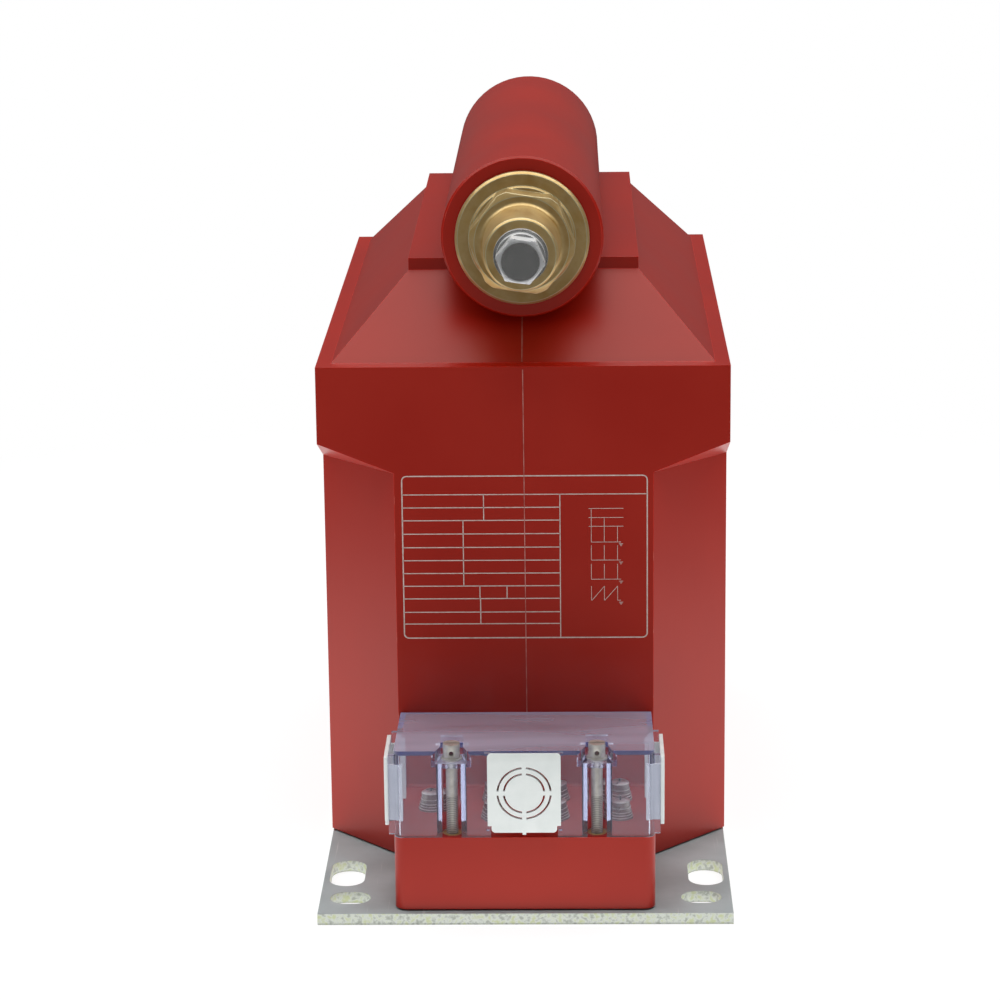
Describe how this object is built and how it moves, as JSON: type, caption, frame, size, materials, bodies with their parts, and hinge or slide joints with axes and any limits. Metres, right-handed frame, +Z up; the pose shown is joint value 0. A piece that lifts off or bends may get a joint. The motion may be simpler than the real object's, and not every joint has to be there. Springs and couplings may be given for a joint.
{
  "type": "cast resin voltage transformer",
  "caption": "Single-pole cast resin voltage transformer on a slotted steel plate, with its primary fuse in a tube on top and its secondary terminals under a clear cover.",
  "frame": {"origin": "middle of the base plate on its underside", "axes": "+Z up; -Y to the front, where the brass high-voltage terminal and the terminal cover are; +X to the right as seen from the front"},
  "size_m": [0.175, 0.4011, 0.3093],
  "materials": {
    "zinc_plate": "zinc plated with a yellowish passivation on the cut edges, scratched",
    "steel_dark": "plain steel",
    "red_resin": "cast epoxy resin, satin, with a fine mould seam and small scuffs",
    "core_steel": "wound silicon steel strip",
    "strap_steel": "bright steel strap",
    "earth_wire": "insulated copper wire",
    "former": "pressed insulation tube",
    "winding_copper": "enamelled copper wire",
    "insulation": "wrapped insulation film",
    "primary_copper": "fine enamelled copper wire in layers",
    "lead_wire": "insulated copper wire",
    "brass": "turned brass",
    "fuse_ceramic": "unglazed barrel of the fuse",
    "silvered": "silver plated",
    "spring_steel": "spring steel wire",
    "seal_rubber": "nitrile rubber",
    "bright_zinc": "bright zinc plated steel",
    "nickel": "nickel plated",
    "clear_cover": "clear moulded polycarbonate with a faint violet tint",
    "white_plastic": "white moulded plastic"
  },
  "bodies": {
    "root": {"base_plate": "zinc_plate", "base_bolts": "steel_dark", "base_inserts": "steel_dark", "resin_body": "red_resin", "iron_core": "core_steel", "core_band": "strap_steel", "core_earth_lead": "earth_wire", "winding_tube": "former", "measuring_winding_1": "winding_copper", "measuring_winding_2": "winding_copper", "residual_winding": "winding_copper", "insulation_barrier": "insulation", "primary_winding": "primary_copper", "primary_lead": "lead_wire", "neutral_lead": "lead_wire", "secondary_leads": "lead_wire", "rear_contact": "brass", "cap_ring": "brass", "fuse_barrel": "fuse_ceramic", "fuse_end_caps": "silvered", "contact_spring": "spring_steel", "cap_seal": "seal_rubber", "fuse_cap": "brass", "hv_plain_washer": "bright_zinc", "hv_spring_washer": "bright_zinc", "hv_bolt": "bright_zinc", "terminal_inserts": "nickel", "terminal_plain_washers": "nickel", "terminal_clamp_washers": "nickel", "terminal_spring_washers": "nickel", "terminal_screws": "nickel", "cover_inserts": "brass", "terminal_cover": "clear_cover", "front_entry_plate": "white_plastic", "left_entry_plate": "white_plastic", "right_entry_plate": "white_plastic", "cover_screw_washers": "bright_zinc", "cover_screws": "bright_zinc"}
  },
  "joints": []
}
